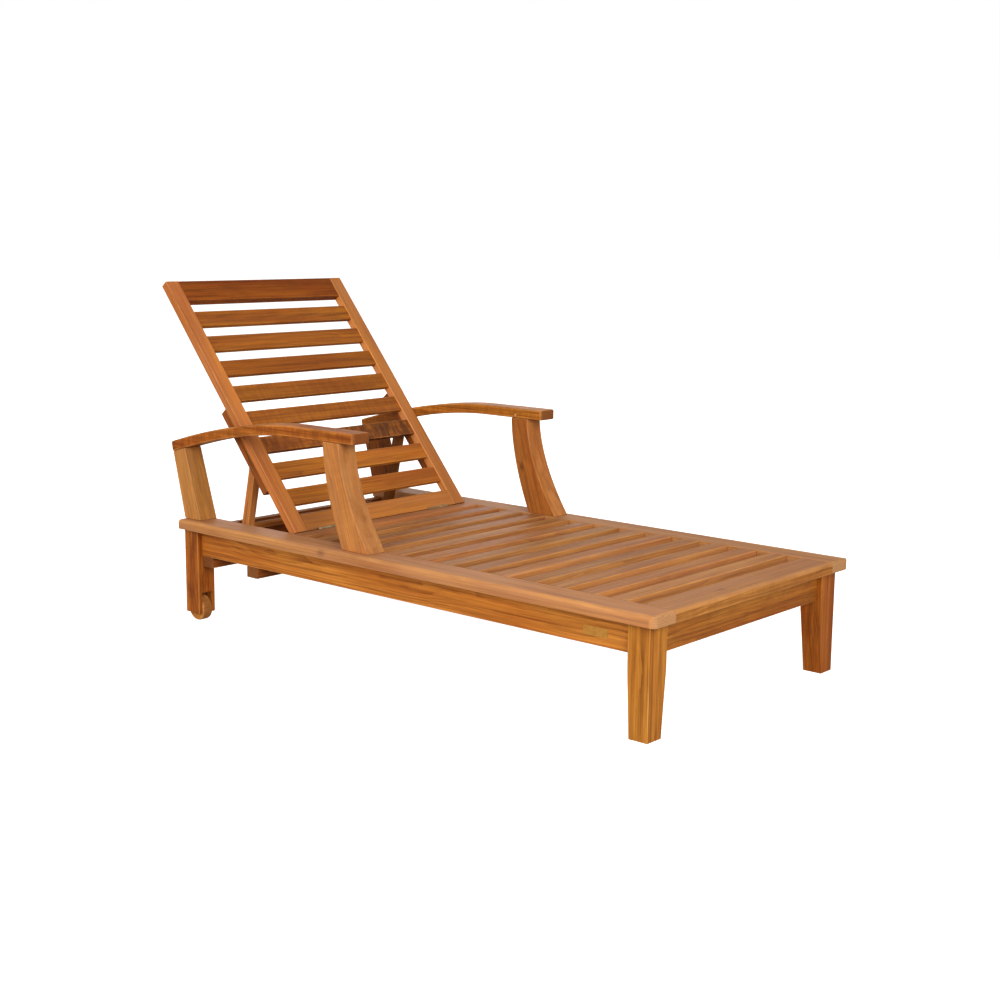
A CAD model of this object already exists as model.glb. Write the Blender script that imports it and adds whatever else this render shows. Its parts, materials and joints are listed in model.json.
"""The lounger's looks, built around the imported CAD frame. Units are metres; +Y is the head end, +Z is up."""
import json
import math
import random
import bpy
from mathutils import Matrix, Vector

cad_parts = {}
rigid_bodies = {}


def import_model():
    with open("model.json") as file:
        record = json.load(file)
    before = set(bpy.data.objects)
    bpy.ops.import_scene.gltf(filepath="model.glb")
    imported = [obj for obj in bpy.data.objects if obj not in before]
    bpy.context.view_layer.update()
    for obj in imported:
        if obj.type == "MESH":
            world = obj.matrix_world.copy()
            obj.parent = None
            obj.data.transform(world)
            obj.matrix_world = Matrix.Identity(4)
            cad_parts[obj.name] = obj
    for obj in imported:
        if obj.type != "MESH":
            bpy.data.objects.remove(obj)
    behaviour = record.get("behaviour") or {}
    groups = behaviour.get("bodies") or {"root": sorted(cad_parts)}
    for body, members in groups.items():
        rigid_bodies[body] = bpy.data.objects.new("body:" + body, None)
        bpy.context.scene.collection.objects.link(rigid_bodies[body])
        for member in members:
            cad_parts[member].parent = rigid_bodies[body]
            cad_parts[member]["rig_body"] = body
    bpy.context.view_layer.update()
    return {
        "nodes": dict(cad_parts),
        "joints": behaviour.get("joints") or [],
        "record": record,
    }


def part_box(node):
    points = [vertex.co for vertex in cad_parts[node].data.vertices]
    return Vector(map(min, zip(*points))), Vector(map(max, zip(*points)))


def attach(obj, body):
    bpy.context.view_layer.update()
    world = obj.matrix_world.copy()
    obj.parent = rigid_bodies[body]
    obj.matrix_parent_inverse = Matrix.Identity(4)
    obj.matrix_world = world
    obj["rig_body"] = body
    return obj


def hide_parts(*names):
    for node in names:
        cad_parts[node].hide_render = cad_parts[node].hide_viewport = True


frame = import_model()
import zlib

import bmesh
import bpy
from mathutils import Matrix, Vector

MM = 0.001
X_AXIS, Y_AXIS, Z_AXIS = Vector((1, 0, 0)), Vector((0, 1, 0)), Vector((0, 0, 1))
SIDES = {"left": -1, "right": 1}


# ---------------------------------------------------------------- places taken from the frame

def middle(node):
    low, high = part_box(node)
    return (low + high) / 2


def joint(name):
    return next(j for j in frame["joints"] if j["name"] == name)


def body_of(node):
    return frame["nodes"][node]["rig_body"]


def slot_of(node):
    return next(s["material_slot"] for s in frame["record"]["subparts"] if s["node"] == node)


UP_BACK = (middle("back_slat_8") - middle("back_slat_1")).normalized()
PROP_PIVOT = Vector(joint("prop_swing")["pos_m"])
DOWN_PROP = (middle("prop_foot_bar") - PROP_PIVOT).normalized()
REAR_POST_LEAN = Vector((0, 0.27, 1)).normalized()
FRONT_POST_LEAN = Vector((0, 0.30, 1)).normalized()


def grain_axis(node):
    """The way the fibres of a board run, at rest."""
    if node.startswith(("cap_rail", "side_apron", "seat_ledgers", "prop_racks", "arm_", "wheel_")):
        return Y_AXIS
    if node.startswith(("foot_leg", "rear_leg")):
        return Z_AXIS
    if node.startswith("rear_post"):
        return REAR_POST_LEAN
    if node.startswith("front_post"):
        return FRONT_POST_LEAN
    if node.startswith(("back_stile", "back_cleats")):
        return UP_BACK
    if node.startswith("prop_leg"):
        return DOWN_PROP
    return X_AXIS


# ---------------------------------------------------------------- shader helpers

class Graph:
    """A short way to build a node tree: every call adds one node and links its inputs."""

    def __init__(self, tree):
        self.tree = tree
        self.tree.nodes.clear()

    def node(self, kind, settings=None, **inputs):
        """Adds a node. An input goes by its socket's name, or by the letter i and the socket's number."""
        new = self.tree.nodes.new(kind)
        for key, value in (settings or {}).items():
            setattr(new, key, value)
        for key, value in inputs.items():
            numbered = key[0] == "i" and key[1:].isdigit()
            socket = new.inputs[int(key[1:]) if numbered else key.replace("_", " ")]
            if isinstance(value, bpy.types.NodeSocket):
                self.tree.links.new(value, socket)
            else:
                socket.default_value = value
        return new

    def math(self, operation, a, b=0.0, c=0.0):
        return self.node("ShaderNodeMath", {"operation": operation}, i0=a, i1=b, i2=c).outputs[0]

    def scaled(self, vector, scale):
        settings = {"operation": "MULTIPLY"}
        return self.node("ShaderNodeVectorMath", settings, i0=vector, i1=scale).outputs[0]

    def length(self, vector):
        return self.node("ShaderNodeVectorMath", {"operation": "LENGTH"}, i0=vector).outputs["Value"]

    def noise(self, vector, detail=2.0, rough=0.5, scale=1.0):
        return self.node("ShaderNodeTexNoise", None, Vector=vector, Scale=scale, Detail=detail,
                         Roughness=rough).outputs["Fac"]

    def remap(self, value, low, high, to_low=0.0, to_high=1.0, curve="LINEAR"):
        settings = {"clamp": True, "interpolation_type": curve}
        return self.node("ShaderNodeMapRange", settings, Value=value, From_Min=low, From_Max=high,
                         To_Min=to_low, To_Max=to_high).outputs[0]

    def mix(self, factor, a, b, blend="MIX"):
        settings = {"data_type": "RGBA", "blend_type": blend}
        return self.node("ShaderNodeMix", settings, i0=factor, i6=a, i7=b).outputs[2]

    def number(self, name):
        return self.node("ShaderNodeAttribute", {"attribute_name": name}).outputs["Fac"]

    def vector(self, name):
        return self.node("ShaderNodeAttribute", {"attribute_name": name}).outputs["Vector"]

    def output(self, shader):
        self.node("ShaderNodeOutputMaterial", None, Surface=shader)


def new_material(name):
    material = bpy.data.materials.new(name)
    material.use_nodes = True
    return material, Graph(material.node_tree)


def srgb(r, g, b):
    """A linear colour from display values between 0 and 255."""
    def linear(v):
        v /= 255
        return v / 12.92 if v <= 0.04045 else ((v + 0.055) / 1.055) ** 2.4
    return (linear(r), linear(g), linear(b), 1.0)


# ---------------------------------------------------------------- teak

TEAK = {
    # slot: (pale wood, dark growth lines, red patches, weathered top faces)
    "teak_deck": (srgb(200, 136, 62), srgb(112, 60, 16), srgb(170, 99, 36), srgb(194, 140, 102)),
    "teak_frame": (srgb(198, 131, 50), srgb(106, 54, 10), srgb(166, 92, 24), srgb(192, 136, 84)),
    "teak_back": (srgb(200, 125, 26), srgb(104, 49, 5), srgb(166, 85, 12), srgb(192, 130, 84)),
    "teak_hidden": (srgb(162, 92, 34), srgb(88, 42, 12), srgb(128, 61, 20), srgb(150, 92, 48)),
}
RUBBED_EDGE = srgb(212, 152, 88)
SAWN_END, SAWN_RING, SAWN_PORE, SAWN_DARK = (
    srgb(186, 138, 92), srgb(132, 84, 44), srgb(96, 56, 26), srgb(116, 72, 38))
KNOT, STAIN = srgb(74, 30, 12), srgb(46, 18, 5)
DEEP = (0.72, 0.50, 0.22, 1.0)

# noises in the wood: how fast they change along the grain and across it, then detail and roughness
NOISES = {
    "bend": (1.4, 8, 2.0, 0.50), "sway": (2.3, 11, 1.0, 0.50), "ripple": (8, 70, 3.0, 0.50),
    "fibres": (4, 260, 4.0, 0.66), "fine": (20, 1400, 2.0, 0.60), "pores": (42, 1500, 1.0, 0.50),
    "streaks": (1.6, 90, 3.0, 0.62), "wisps": (5, 150, 2.0, 0.50), "patches": (2.4, 15, 3.0, 0.60),
    "curl": (75, 16, 2.0, 0.55), "mottle": (13, 34, 4.0, 0.62), "worn": (4, 50, 3.0, 0.50),
    "rub": (12, 40, 3.0, 0.50), "end_pores": (300, 620, 2.0, 0.70),
}
# the noise values where a figure starts to show and where it is full
SPANS = {
    "fibres": (0.42, 0.74), "pores": (0.60, 0.72), "streaks": (0.44, 0.62), "wisps": (0.52, 0.68),
    "patches": (0.38, 0.66), "curl": (0.43, 0.58), "mottle": (0.47, 0.62), "worn": (0.30, 0.70),
    "rub": (0.38, 0.66), "end_pores": (0.52, 0.66),
}
# how strongly each figure colours the wood, and how far it stands out of the face
SHOWS = {"patches": 0.85, "streaks": 0.36, "wisps": 0.34, "fibres": 0.52, "pores": 0.30, "knot": 0.85,
         "sun": 0.72, "end_rings": 0.45, "end_pores": 0.55}
RELIEF = {"fibres": 0.6, "fine": 0.35, "pores": -0.5, "late": -0.25}
BUMP, BUMP_HEIGHT = 0.35, 0.5 * MM

# figures that never quite vanish: their least and their most
LATE_SHOWS, WORN_SHOWS, RUB_SHOWS, STAIN_SHOWS = (0.14, 0.80), (0.45, 0.90), (0.10, 0.50), (0.50, 1.0)

RING_SPACING = 5.6 * MM
PITH_WANDER = (0, 45 * MM, 45 * MM)
RING_RIPPLE = 1.1
LATE_SHARPNESS = 2.2
KNOT_SQUEEZE = (0.55, 1, 1)
KNOT_REACH, STAIN_REACH = 14 * MM, 170 * MM
KNOT_BENDS_RINGS, BEND_REACH = 3.2, 30 * MM
TEAK_ROUGHNESS, FIBRE_ROUGHNESS, SUN_ROUGHNESS = 0.44, 0.20, 0.10
OILED_SPECULAR = 0.13


def wood_noise(g, grain, name):
    """One of the noises, drawn out along the grain."""
    along, across_grain, detail, rough = NOISES[name]
    return g.noise(g.scaled(grain, (along, across_grain, across_grain)), detail, rough)


def figure(g, grain, name, least=0.0, most=1.0):
    """How strongly a figure of the wood shows at each point, from least to most."""
    return g.remap(wood_noise(g, grain, name), *SPANS[name], least, most)


def growth_lines(g, grain):
    """Growth lines: how far a point is from the pith, bent by slow noise and pushed round a knot."""
    bend, sway = wood_noise(g, grain, "bend"), wood_noise(g, grain, "sway")
    offset = g.node("ShaderNodeCombineXYZ", None, X=0.0, Y=bend, Z=sway).outputs[0]
    flat = g.node("ShaderNodeVectorMath", {"operation": "MULTIPLY_ADD"}, i0=offset, i1=PITH_WANDER,
                  i2=g.scaled(grain, (0, 1, 1))).outputs[0]
    turns = g.math("MULTIPLY", g.length(flat), 1 / RING_SPACING)
    turns = g.math("MULTIPLY_ADD", wood_noise(g, grain, "ripple"), RING_RIPPLE, turns)
    turns = g.math("MULTIPLY_ADD", knot_nearness(g, grain, BEND_REACH), KNOT_BENDS_RINGS, turns)
    return g.math("POWER", g.math("FRACT", turns), LATE_SHARPNESS)


def knot_nearness(g, grain, reach):
    """1 at the board's knot, falling to 0 at reach metres from it."""
    away = g.node("ShaderNodeVectorMath", {"operation": "SUBTRACT"}, i0=grain,
                  i1=g.vector("knot")).outputs[0]
    return g.remap(g.length(g.scaled(away, KNOT_SQUEEZE)), reach, 0.0, curve="SMOOTHSTEP")


def end_grain(g, grain, late):
    """A sawn end: pale, with growth rings and dark open pores."""
    pores = figure(g, grain, "end_pores")
    ends = g.mix(g.math("MULTIPLY", late, SHOWS["end_rings"]), SAWN_END, SAWN_RING)
    return g.mix(g.math("MULTIPLY", pores, SHOWS["end_pores"]), ends, SAWN_PORE)


def teak(slot):
    """Oiled teak. The board's own coordinates, tone and face kinds are stored on its mesh."""
    pale, dark, red, weathered = TEAK[slot]
    material, g = new_material(slot)
    grain = g.vector("grain")
    late = growth_lines(g, grain)
    fibres, fine = wood_noise(g, grain, "fibres"), wood_noise(g, grain, "fine")
    pores, streaks, curl = (figure(g, grain, name) for name in ("pores", "streaks", "curl"))

    # red patches lie under the figures that darken the wood, all drawn out along the board
    colour = g.mix(g.math("MULTIPLY", figure(g, grain, "patches"), SHOWS["patches"]), pale, red)
    darkening = [
        (late, g.remap(streaks, 0.0, 1.0, *LATE_SHOWS)),
        (streaks, SHOWS["streaks"]),
        (figure(g, grain, "wisps"), SHOWS["wisps"]),
        (g.remap(fibres, *SPANS["fibres"]), SHOWS["fibres"]),
        (pores, SHOWS["pores"]),
        (figure(g, grain, "mottle"), g.number("mottle")),
        (curl, g.number("curl")),
    ]
    for amount, shows in darkening:
        colour = g.mix(g.math("MULTIPLY", amount, shows), colour, dark)
    stained = g.math("MULTIPLY", knot_nearness(g, grain, STAIN_REACH),
                     g.remap(curl, 0.0, 1.0, *STAIN_SHOWS))
    colour = g.mix(g.math("MULTIPLY", stained, g.number("stain")), colour, STAIN)
    colour = g.mix(g.math("MULTIPLY", knot_nearness(g, grain, KNOT_REACH), SHOWS["knot"]), colour, KNOT)

    # top faces have greyed a little, edges are rubbed paler and sawn ends show their rings
    worn = g.math("MULTIPLY", figure(g, grain, "worn", *WORN_SHOWS), SHOWS["sun"])
    colour = g.mix(g.math("MULTIPLY", g.number("sun"), worn), colour, weathered)
    rub = figure(g, grain, "rub", *RUB_SHOWS)
    colour = g.mix(g.math("MULTIPLY", g.number("edge"), rub), colour, RUBBED_EDGE)
    colour = g.mix(g.number("dull_cap"), colour, SAWN_DARK)
    colour = g.mix(g.number("cap"), colour, end_grain(g, grain, late))

    # each board has its own tone: some are deeper and redder than others
    colour = g.mix(g.number("depth"), colour, DEEP, "MULTIPLY")
    colour = g.node("ShaderNodeHueSaturation", None, Hue=g.number("hue"), Saturation=1.0,
                    Value=g.number("shade"), Fac=1.0, Color=colour).outputs[0]

    relief = g.math("MULTIPLY", fibres, RELIEF["fibres"])
    for name, height in {"fine": fine, "pores": pores, "late": late}.items():
        relief = g.math("MULTIPLY_ADD", height, RELIEF[name], relief)
    bump = g.node("ShaderNodeBump", None, Strength=BUMP, Distance=BUMP_HEIGHT, Height=relief).outputs[0]
    rough = g.math("MULTIPLY_ADD", fibres, FIBRE_ROUGHNESS, TEAK_ROUGHNESS)
    rough = g.math("ADD", rough, g.math("MULTIPLY", g.number("sun"), SUN_ROUGHNESS))
    shader = g.node("ShaderNodeBsdfPrincipled", None, Base_Color=colour, Roughness=rough, Normal=bump,
                    Specular_IOR_Level=OILED_SPECULAR)
    g.output(shader.outputs[0])
    return material


# ---------------------------------------------------------------- metal and floor

DULL_DETAIL, DULL_ROUGH, DULL_SCALE = 4.0, 0.6, 90.0
DULL_SPAN = (0.38, 0.66)
BRUSH_SCALE, BRUSH_DETAIL = (40, 1800, 1800), 2.0
TARNISH_SHOWS = 0.75
TARNISH_ROUGHNESS, BRUSH_ROUGHNESS = 0.22, 0.10
BRUSH_BUMP, BRUSH_HEIGHT = 0.12, 0.2 * MM


def metal(name, base, tarnish, roughness):
    """Brass or steel, brushed lightly and dulled in patches."""
    material, g = new_material(name)
    where = g.node("ShaderNodeTexCoord").outputs["Object"]
    dull = g.remap(g.noise(where, DULL_DETAIL, DULL_ROUGH, DULL_SCALE), *DULL_SPAN)
    brushed = g.noise(g.scaled(where, BRUSH_SCALE), BRUSH_DETAIL)
    colour = g.mix(g.math("MULTIPLY", dull, TARNISH_SHOWS), base, tarnish)
    rough = g.math("ADD", g.math("MULTIPLY_ADD", dull, TARNISH_ROUGHNESS, roughness),
                   g.math("MULTIPLY", brushed, BRUSH_ROUGHNESS))
    bump = g.node("ShaderNodeBump", None, Strength=BRUSH_BUMP, Distance=BRUSH_HEIGHT,
                  Height=brushed).outputs[0]
    shader = g.node("ShaderNodeBsdfPrincipled", None, Base_Color=colour, Roughness=rough, Normal=bump,
                    Metallic=1.0)
    g.output(shader.outputs[0])
    return material


WHITE = (1, 1, 1, 1)
FLOOR_GREY, FLOOR_ROUGHNESS, FLOOR_GLOW = (0.62, 0.60, 0.58, 1), 0.5, 0.90


def floor_material():
    """A white studio floor: evenly bright to look at, with a faint contact shadow."""
    material, g = new_material("studio_floor")
    matt = g.node("ShaderNodeBsdfDiffuse", None, Color=FLOOR_GREY, Roughness=FLOOR_ROUGHNESS)
    glow = g.node("ShaderNodeEmission", None, Color=WHITE, Strength=FLOOR_GLOW)
    lit = g.node("ShaderNodeAddShader", None, i0=matt.outputs[0], i1=glow.outputs[0])
    seen = g.node("ShaderNodeLightPath").outputs["Is Camera Ray"]
    shader = g.node("ShaderNodeMixShader", None, Fac=seen, i1=matt.outputs[0], i2=lit.outputs[0])
    g.output(shader.outputs[0])
    return material


MATERIALS = {slot: teak(slot) for slot in TEAK}
MATERIALS["brass"] = metal("brass", srgb(226, 202, 158), srgb(150, 118, 76), 0.24)
PLATE_BRASS = metal("plate_brass", srgb(206, 152, 74), srgb(196, 140, 66), 0.50)
MATERIALS["steel"] = metal("steel", srgb(190, 190, 188), srgb(130, 128, 124), 0.26)


# ---------------------------------------------------------------- how each board looks

# Each table goes by a board's name or by its start. The first start that fits counts, so a longer one
# comes before a shorter one.

# how curly, mottled and stained a board is
CURLY = {"arm_left": 0.40, "arm_right": 0.25, "back_slat_5": 0.25, "back_slat_3": 0.75, "back_slat_4": 0.30,
         "front_post_left": 0.16, "foot_board": 0.12}
MOTTLED = {"rear_post_left": 0.28, "rear_post_right": 0.60, "front_post_left": 0.22, "rear_leg_left": 0.55,
           "foot_apron": 0.30, "arm_left": 0.32, "back_slat_3": 0.40, "foot_leg_left": 0.16,
           "back_slat_8": 0.22, "back_top_rail": 0.22, "front_post_right": 0.45}
PLAIN_MOTTLE = 0.06
STAINED = {"back_slat_3": 1.0, "cap_rail_left": 0.10}

# how light a board is, and how deep and red
TONES = {
    "side_apron": (1.20, 0.0), "foot_apron": (0.88, 0.10), "foot_board": (0.94, 0.10),
    "seat_slat_01": (0.99, 0.0), "seat_slat_02": (0.97, 0.0), "seat_slat_03": (0.95, 0.05),
    "seat_slat_04": (0.94, 0.05), "seat_slat_05": (0.92, 0.08), "seat_slat_06": (0.92, 0.08),
    "seat_slat_07": (0.90, 0.12), "seat_slat": (0.87, 0.16), "hinge_board": (0.94, 0.10),
    "foot_leg_left": (1.06, 0.08), "foot_leg_right": (0.96, 0.60), "rear_leg": (1.12, 0.50),
    "front_post_left": (1.10, 0.0), "front_post_right": (1.04, 0.30), "rear_post_left": (1.08, 0.05),
    "rear_post_right": (0.70, 0.75), "arm_left": (1.18, 0.55), "arm_right": (1.12, 0.40),
    "prop_leg_left": (1.40, 0.0), "prop_leg_right": (0.46, 0.85), "back_stile_left": (1.16, 0.10),
    "back_stile_right": (0.96, 0.15), "back_top_rail": (0.74, 0.80), "back_bottom_rail": (1.00, 0.25),
    "back_slat_8": (0.90, 0.55), "back_slat_7": (0.94, 0.50), "back_slat_6": (0.90, 0.60),
    "back_slat_5": (0.94, 0.50), "back_slat_4": (0.98, 0.45), "back_slat_3": (1.00, 0.45),
    "back_slat_2": (1.20, 0.30), "back_slat_1": (1.08, 0.35), "wheel": (1.18, 0.20), "plug": (1.40, 0.0),
}
PLAIN_TONE = (1.0, 0.0)

# faces lighter or darker than the rest of their board, by the way they face
FACE_TONES = {
    "seat_slat": (-Y_AXIS, 1.12), "hinge_board": (-Y_AXIS, 1.35), "front_post_left": (-Y_AXIS, 0.76),
    "rear_post_left": (-Y_AXIS, 0.80), "back_stile_right": (-X_AXIS, 1.40),
    "back_stile_left": (X_AXIS, 1.30),
}
FACE_TURN = 0.5

# how much a board's sides have greyed at least, and its top faces at most
SIDE_SUN = {"cap_rail": 0.8, "wheel": 0.5, "seat_slat": 0.55, "front_post_left": 0.6,
            "front_post_right": 0.3, "prop_leg": 0.6, "rear_post_left": 0.8, "hinge_board": 0.55,
            "back_stile_right": 0.95, "back_stile": 0.75, "back_bottom_rail": 0.9}
TOP_SUN = {"seat_slat": 0.54, "arm_": 0.45, "back_slat": 0.35, "back_top_rail": 0.2}
SUN_START, SUN_RANGE = 0.25, 0.6

# sawn ends are pale and open on the cap rails and the plugs, and oiled dark on every other board
PALE_END = {"cap_rail": 0.90, "plug": 0.95}
DARK_END = {"cap_rail": 0.0, "plug": 0.0, "arm": 0.85}
PLAIN_DARK_END = 0.60
END_GRAIN_START, END_GRAIN_RANGE = 0.35, 0.40

# an edge is a face with less than this share of the board's largest face, that isn't a sawn end
EDGE_AREA, EDGE_TURN = 0.09, 0.7

# the width of a board's rounded edges, in millimetres
EDGE_WIDTH = {"arm_": 4.5, "front_post": 2.5, "rear_post": 2.5, "foot_leg": 1.6, "rear_leg": 1.6,
              "prop_leg": 1.6, "wheel": 2.6, "back_cleats": 1.6, "hinge_board": 0.8,
              "back_bottom_rail": 0.8, "prop_racks": 1.0, "foot_board": 1.2, "cap_rail": 1.5}
PLAIN_EDGE_WIDTH = 1.0


def by_start(table, name, default):
    """The table's entry for a board, by the start of its name."""
    return next((entry for start, entry in table.items() if name.startswith(start)), default)


# how far boards differ by chance. A hue of 0.5 leaves the colour as it is
PLAIN_HUE, HUE_SPREAD, SHADE_SPREAD = 0.5, (-0.005, 0.003), (0.93, 1.06)
LONGEST_OFFSET = 40
PITH_DISTANCES = [20 * MM, 35 * MM, 60 * MM, 90 * MM]


def tone(name):
    """A board's own look, the same on every run: hue, shade, grain offset and the place of its pith."""
    dice = random.Random(zlib.crc32(name.encode()))
    return {
        "hue": PLAIN_HUE + dice.uniform(*HUE_SPREAD),
        "shade": dice.uniform(*SHADE_SPREAD),
        "offset": dice.uniform(0, LONGEST_OFFSET),
        "pith_angle": dice.uniform(0, 2 * math.pi),
        "pith_distance": dice.choice(PITH_DISTANCES),
    }


FOOT_BOARD_KNOT_X, FOOT_BOARD_KNOT_IN = -100 * MM, 40 * MM
POST_KNOT_SHARE, POST_KNOT_UP = 0.75, 128 * MM
SLAT_KNOT_X = 190 * MM
RAIL_KNOT_SHARE, RAIL_KNOT_DOWN = 0.64, 12 * MM
NO_KNOT = [900.0, 900.0, 900.0]


def knots():
    """Places of the few knots, at rest, by board."""
    def part_way(low, high, share):
        return low * (1 - share) + high * share

    board_low, board_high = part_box("foot_board")
    post_low, post_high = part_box("front_post_right")
    rail_low, rail_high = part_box("cap_rail_left")
    post_y = part_way(post_low.y, post_high.y, POST_KNOT_SHARE)
    rail_y = part_way(rail_low.y, rail_high.y, RAIL_KNOT_SHARE)
    slat = middle("back_slat_3")
    return {
        "foot_board": Vector((FOOT_BOARD_KNOT_X, board_low.y + FOOT_BOARD_KNOT_IN, board_high.z)),
        "front_post_right": Vector((post_low.x, post_y, post_low.z + POST_KNOT_UP)),
        "back_slat_3": Vector((SLAT_KNOT_X, slat.y, slat.z)),
        "cap_rail_left": Vector((rail_low.x, rail_y, rail_high.z - RAIL_KNOT_DOWN)),
    }


KNOTS = knots()


# ---------------------------------------------------------------- what is stored on a board's mesh

def across(axis):
    """Two directions square to the grain."""
    helper = Z_AXIS if abs(axis.x) > 0.9 else X_AXIS
    v = axis.cross(helper).normalized()
    return v, axis.cross(v)


def store(mesh, name, kind, domain, values):
    layer = mesh.attributes.new(name, kind, domain)
    layer.data.foreach_set("vector" if kind == "FLOAT_VECTOR" else "value", values)


def face_kinds(faces, name, axis, shade):
    """How far each face is a pale or dark sawn end, a greyed face or an edge, and its shade."""
    largest = max(face.area for face in faces)
    pale_end, dark_end = by_start(PALE_END, name, 0.0), by_start(DARK_END, name, PLAIN_DARK_END)
    side_sun, top_sun = by_start(SIDE_SUN, name, 0.0), by_start(TOP_SUN, name, 1.0)
    facing, tint = by_start(FACE_TONES, name, (Z_AXIS, 1.0))
    kinds = {"cap": [], "dull_cap": [], "sun": [], "edge": [], "shade": []}
    for face in faces:
        turn = abs(face.normal.dot(axis))
        endness = min(1.0, max(0.0, (turn - END_GRAIN_START) / END_GRAIN_RANGE))
        kinds["cap"].append(pale_end * endness)
        kinds["dull_cap"].append(dark_end * endness)
        kinds["sun"].append(min(top_sun, max(side_sun, (face.normal.z - SUN_START) / SUN_RANGE)))
        kinds["edge"].append(float(face.area < largest * EDGE_AREA and turn < EDGE_TURN))
        kinds["shade"].append(shade * tint if face.normal.dot(facing) > FACE_TURN else shade)
    return kinds


def mark_grain(mesh, name, axis, centre):
    """Stores the board's coordinates along and across the grain, its tone, and what each face is."""
    look = tone(name)
    v_axis, w_axis = across(axis)
    pith = Vector((math.cos(look["pith_angle"]), math.sin(look["pith_angle"]))) * look["pith_distance"]

    def along_grain(place):
        p = place - centre
        return [p.dot(axis) + look["offset"], p.dot(v_axis) + pith.x, p.dot(w_axis) + pith.y]

    count = len(mesh.vertices)
    knot = along_grain(KNOTS[name]) if name in KNOTS else NO_KNOT
    lightness, depth = by_start(TONES, name, PLAIN_TONE)
    board_values = {"hue": look["hue"], "depth": depth, "curl": CURLY.get(name, 0.0),
                    "mottle": MOTTLED.get(name, PLAIN_MOTTLE), "stain": STAINED.get(name, 0.0)}
    store(mesh, "grain", "FLOAT_VECTOR", "POINT", [c for v in mesh.vertices for c in along_grain(v.co)])
    store(mesh, "knot", "FLOAT_VECTOR", "POINT", knot * count)
    for key, values in face_kinds(mesh.polygons, name, axis, look["shade"] * lightness).items():
        store(mesh, key, "FLOAT", "FACE", values)
    for key, value in board_values.items():
        store(mesh, key, "FLOAT", "POINT", [value] * count)


# ---------------------------------------------------------------- boards

MERGE_DISTANCE, FLAT = 0.001 * MM, math.radians(0.3)
SHARP = math.radians(38)
EDGE_SEGMENTS = 3
FACE_WEIGHT = 90
END_ROUND, END_SEGMENTS = 5 * MM, 5


def cleaned(node):
    """A copy of a CAD node's mesh with its flat faces made whole again."""
    bm = bmesh.new()
    bm.from_mesh(frame["nodes"][node].data)
    bmesh.ops.remove_doubles(bm, verts=bm.verts, dist=MERGE_DISTANCE)
    bmesh.ops.dissolve_limit(bm, angle_limit=FLAT, verts=bm.verts, edges=bm.edges)
    mesh = bpy.data.meshes.new(node + "_board")
    bm.to_mesh(mesh)
    bm.free()
    return mesh


def round_foot_end(mesh):
    """Rounds the top edge of a cap rail's foot end, where its sawn end turns up into the top face."""
    foot, top = min(v.co.y for v in mesh.vertices), max(v.co.z for v in mesh.vertices)
    bm = bmesh.new()
    bm.from_mesh(mesh)
    edges = [e for e in bm.edges if all(abs(v.co.y - foot) < MM and v.co.z > top - MM for v in e.verts)]
    bmesh.ops.bevel(bm, geom=edges, offset=END_ROUND, offset_type="OFFSET", segments=END_SEGMENTS,
                    profile=0.5, affect="EDGES", clamp_overlap=True)
    bm.to_mesh(mesh)
    bm.free()


def bevelled(name, mesh, width):
    """An object with the mesh, its sharp edges rounded."""
    obj = bpy.data.objects.new(name, mesh)
    bpy.context.scene.collection.objects.link(obj)
    bevel = obj.modifiers.new("edges", "BEVEL")
    bevel.width = width
    bevel.segments = EDGE_SEGMENTS
    bevel.limit_method = "ANGLE"
    bevel.angle_limit = SHARP
    bevel.use_clamp_overlap = True
    depsgraph = bpy.context.evaluated_depsgraph_get()
    rounded = bpy.data.meshes.new_from_object(obj.evaluated_get(depsgraph))
    obj.modifiers.clear()
    obj.data = rounded
    return obj


def smooth_edges(obj):
    """Smooth shading over the rounded edges, with the flat faces kept flat."""
    mesh = obj.data
    mesh.polygons.foreach_set("use_smooth", [True] * len(mesh.polygons))
    weights = obj.modifiers.new("flat_faces", "WEIGHTED_NORMAL")
    weights.keep_sharp = True
    weights.weight = FACE_WEIGHT


def board(node):
    """Stands for a CAD board: the same shape, with every edge softened and its grain laid out."""
    mesh = cleaned(node)
    if node.startswith("cap_rail"):
        round_foot_end(mesh)
    obj = bevelled(node + "_wood", mesh, by_start(EDGE_WIDTH, node, PLAIN_EDGE_WIDTH) * MM)
    mark_grain(obj.data, node, grain_axis(node), middle(node))
    smooth_edges(obj)
    obj.data.materials.clear()
    obj.data.materials.append(MATERIALS[slot_of(node)])
    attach(obj, body_of(node))
    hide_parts(node)


for node in frame["nodes"]:
    if slot_of(node).startswith("teak"):
        board(node)
    else:
        cad = frame["nodes"][node]
        cad.data.materials.clear()
        cad.data.materials.append(PLATE_BRASS if node == "plain_plate" else MATERIALS[slot_of(node)])


PLUG_RADIUS, PLUG_PROUD, PLUG_SUNK = 3.6 * MM, 0.4 * MM, 1.0 * MM
PLUG_UP, PLUG_IN = 8.3 * MM, 16 * MM
PLUG_SEGMENTS = 24


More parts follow.
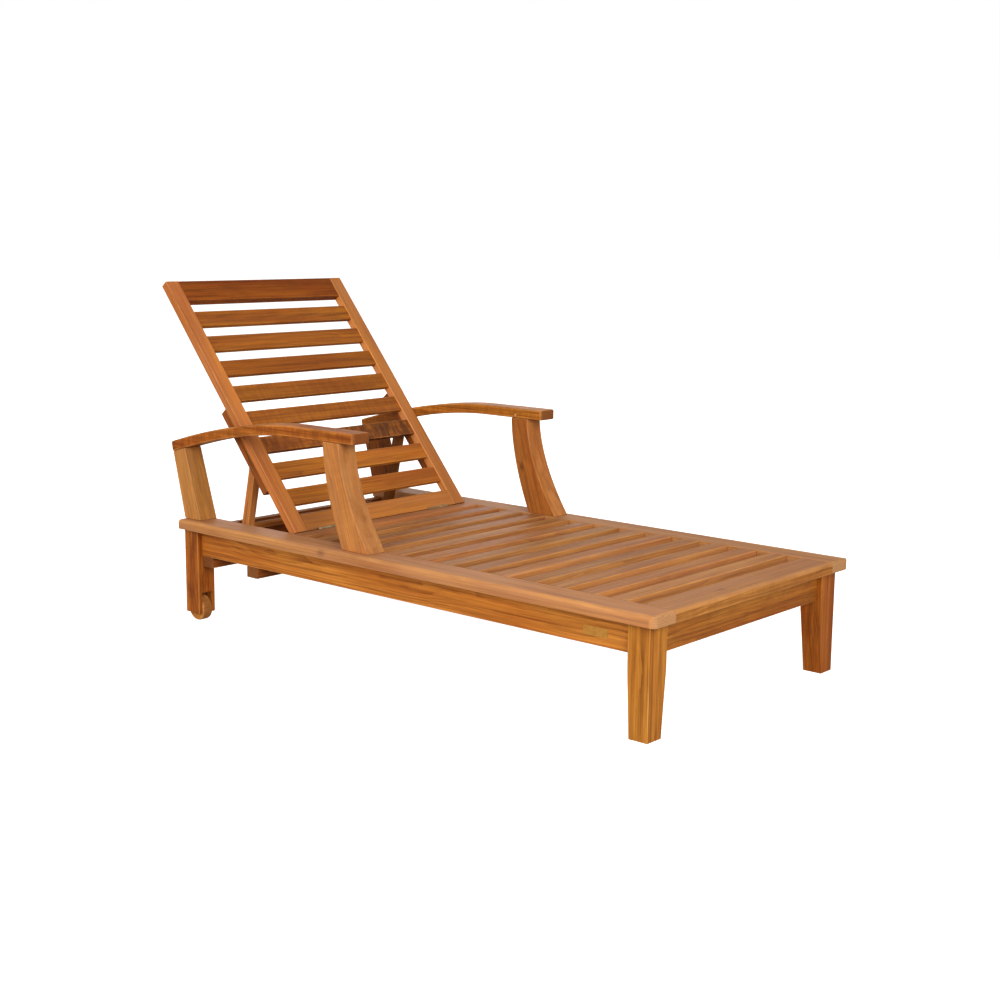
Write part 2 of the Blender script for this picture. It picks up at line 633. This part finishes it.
def plug(side_name):
    """A small wooden plug on an arm's inner face, over the front post, that hides a screw."""
    side = SIDES[side_name]
    arm_low, arm_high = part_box("arm_" + side_name)
    post_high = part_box("front_post_" + side_name)[1]
    inner_face = arm_low.x if side > 0 else arm_high.x
    sink = (PLUG_SUNK - PLUG_PROUD) / 2
    centre = Vector((inner_face + side * sink, post_high.y - PLUG_IN, post_high.z + PLUG_UP))
    bm = bmesh.new()
    place = Matrix.Translation(centre) @ Matrix.Rotation(math.pi / 2, 4, "Y")
    bmesh.ops.create_cone(bm, cap_ends=True, segments=PLUG_SEGMENTS, radius1=PLUG_RADIUS,
                          radius2=PLUG_RADIUS, depth=PLUG_SUNK + PLUG_PROUD, matrix=place)
    mesh = bpy.data.meshes.new("plug_" + side_name)
    bm.to_mesh(mesh)
    bm.free()
    obj = bpy.data.objects.new("plug_" + side_name, mesh)
    bpy.context.scene.collection.objects.link(obj)
    mark_grain(mesh, obj.name, X_AXIS, centre)
    mesh.materials.append(MATERIALS["teak_frame"])
    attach(obj, body_of("arm_" + side_name))


for side_name in SIDES:
    plug(side_name)


# ---------------------------------------------------------------- stage, light and camera

FLOOR_SIZE = 120
# the room's brightness near the horizon and overhead, and the heights between which it changes
ROOM_LIGHT, ROOM_BAND = (0.62, 0.34), (0.05, 0.75)
LIGHT_AIM = (0, 0.05, 0.35)
LIGHTS = [
    # name, place, size, power, colour
    ("key", (-2.4, -4.7, 2.3), 3.0, 235, (1.0, 0.98, 0.94)),
    ("side", (-4.8, -0.4, 2.2), 2.8, 118, (1.0, 0.99, 0.96)),
    ("top", (0.6, 0.4, 4.6), 3.0, 12, (1.0, 0.99, 0.97)),
    ("back", (3.8, 4.4, 2.0), 3.2, 75, (1.0, 0.98, 0.95)),
]


def area_light(name, place, size, power, colour):
    data = bpy.data.lights.new(name, "AREA")
    data.shape = "DISK"
    data.size = size
    data.energy = power
    data.color = colour
    obj = bpy.data.objects.new(name, data)
    obj.location = place
    obj.rotation_euler = (Vector(LIGHT_AIM) - Vector(place)).to_track_quat("-Z", "Y").to_euler()
    bpy.context.scene.collection.objects.link(obj)


def studio_world():
    """A room that looks white, and lights the object softly, more from the sides than from above."""
    world = bpy.data.worlds.new("studio")
    world.use_nodes = True
    g = Graph(world.node_tree)
    up = g.node("ShaderNodeSeparateXYZ", None, Vector=g.node("ShaderNodeTexCoord").outputs["Generated"])
    soft = g.remap(up.outputs["Z"], *ROOM_BAND, *ROOM_LIGHT)
    seen = g.node("ShaderNodeLightPath").outputs["Is Camera Ray"]
    sky = g.node("ShaderNodeBackground", None, Color=WHITE, Strength=g.math("MAXIMUM", seen, soft))
    g.node("ShaderNodeOutputWorld", None, Surface=sky.outputs[0])
    bpy.context.scene.world = world


def stage():
    bpy.ops.mesh.primitive_plane_add(size=FLOOR_SIZE)
    floor = bpy.context.object
    floor.name = "studio_floor"
    floor.data.materials.append(floor_material())
    studio_world()
    bpy.context.scene.view_settings.view_transform = "Standard"
    for light in LIGHTS:
        area_light(*light)


CAMERA_PLACE = (-2.9676, -2.6821, 1.0692)
CAMERA_YAW, CAMERA_PITCH, CAMERA_ROLL = 48.871, 9.854, 0.555
LENS, SENSOR = 55.83, 36.0


def camera():
    """A camera that looks yaw degrees from +Y towards +X, pitch degrees down, turned by roll."""
    yaw, pitch, roll = (math.radians(a) for a in (CAMERA_YAW, CAMERA_PITCH, CAMERA_ROLL))
    ahead = Vector((math.sin(yaw) * math.cos(pitch), math.cos(yaw) * math.cos(pitch), -math.sin(pitch)))
    level = Vector((math.cos(yaw), -math.sin(yaw), 0))
    over = level.cross(ahead)
    right = level * math.cos(roll) + over * math.sin(roll)
    up = over * math.cos(roll) - level * math.sin(roll)
    data = bpy.data.cameras.new("camera")
    data.lens, data.sensor_width = LENS, SENSOR
    obj = bpy.data.objects.new("camera", data)
    obj.matrix_world = Matrix.Translation(CAMERA_PLACE) @ Matrix((right, up, -ahead)).transposed().to_4x4()
    bpy.context.scene.collection.objects.link(obj)
    bpy.context.scene.camera = obj


stage()
camera()
